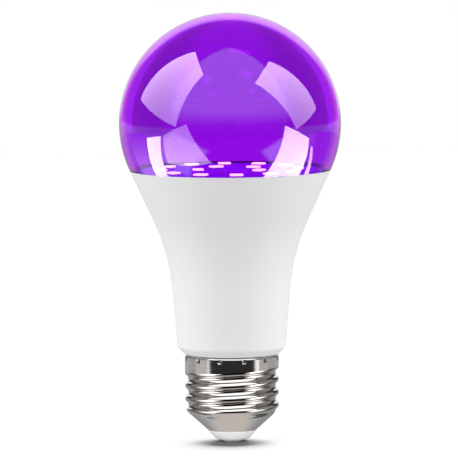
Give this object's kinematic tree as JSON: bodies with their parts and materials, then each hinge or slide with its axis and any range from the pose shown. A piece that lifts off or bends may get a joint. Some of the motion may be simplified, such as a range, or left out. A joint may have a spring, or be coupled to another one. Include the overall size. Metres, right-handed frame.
{
  "type": "uv black light bulb",
  "caption": "LED bulb with a clear violet globe on a flared white housing and a screw cap; an LED board, heat sink cup and driver sit inside.",
  "frame": {"origin": "middle of the centre contact's face, the lowest point of the bulb", "axes": "+Z along the bulb's axis from the contact to the crown of the globe; -Y faces the viewer of the picture"},
  "size_m": [0.0616, 0.0616, 0.1194],
  "materials": {
    "violet_plastic": "clear gloss",
    "white_plastic": "fine satin",
    "aluminium": "drawn",
    "board_white": "satin",
    "led_body": "satin",
    "circuit_board": "satin",
    "can_sleeve": "gloss",
    "ferrite": "matte",
    "copper_wire": "enamelled",
    "resistor_body": "lacquered",
    "package_black": "moulded",
    "lead_red": "satin",
    "lead_black": "satin",
    "solder": "bright",
    "nickel": "nickel plate",
    "tip_white": "gloss",
    "contact_metal": "nickel plate"
  },
  "bodies": {
    "root": {"dome": "violet_plastic", "housing": "white_plastic", "heat_sink_cup": "aluminium", "led_board": "board_white", "led_1": "led_body", "led_2": "led_body", "led_3": "led_body", "led_4": "led_body", "led_5": "led_body", "led_6": "led_body", "led_7": "led_body", "led_8": "led_body", "led_9": "led_body", "led_10": "led_body", "led_11": "led_body", "led_12": "led_body", "led_13": "led_body", "led_14": "led_body", "led_15": "led_body", "led_16": "led_body", "driver_board": "circuit_board", "input_capacitor": "can_sleeve", "output_capacitor": "can_sleeve", "choke_core": "ferrite", "choke_winding": "copper_wire", "fuse_resistor": "resistor_body", "chip_resistor_1": "resistor_body", "chip_resistor_2": "resistor_body", "chip_resistor_3": "resistor_body", "bridge_rectifier": "package_black", "driver_chip": "package_black", "freewheel_diode": "package_black", "led_lead_1": "lead_red", "live_lead": "lead_red", "led_lead_2": "lead_black", "neutral_lead": "lead_black", "lead_solder_1": "solder", "lead_solder_2": "solder", "screw_shell": "nickel", "cap_insulator": "tip_white", "centre_contact": "contact_metal"}
  },
  "joints": []
}
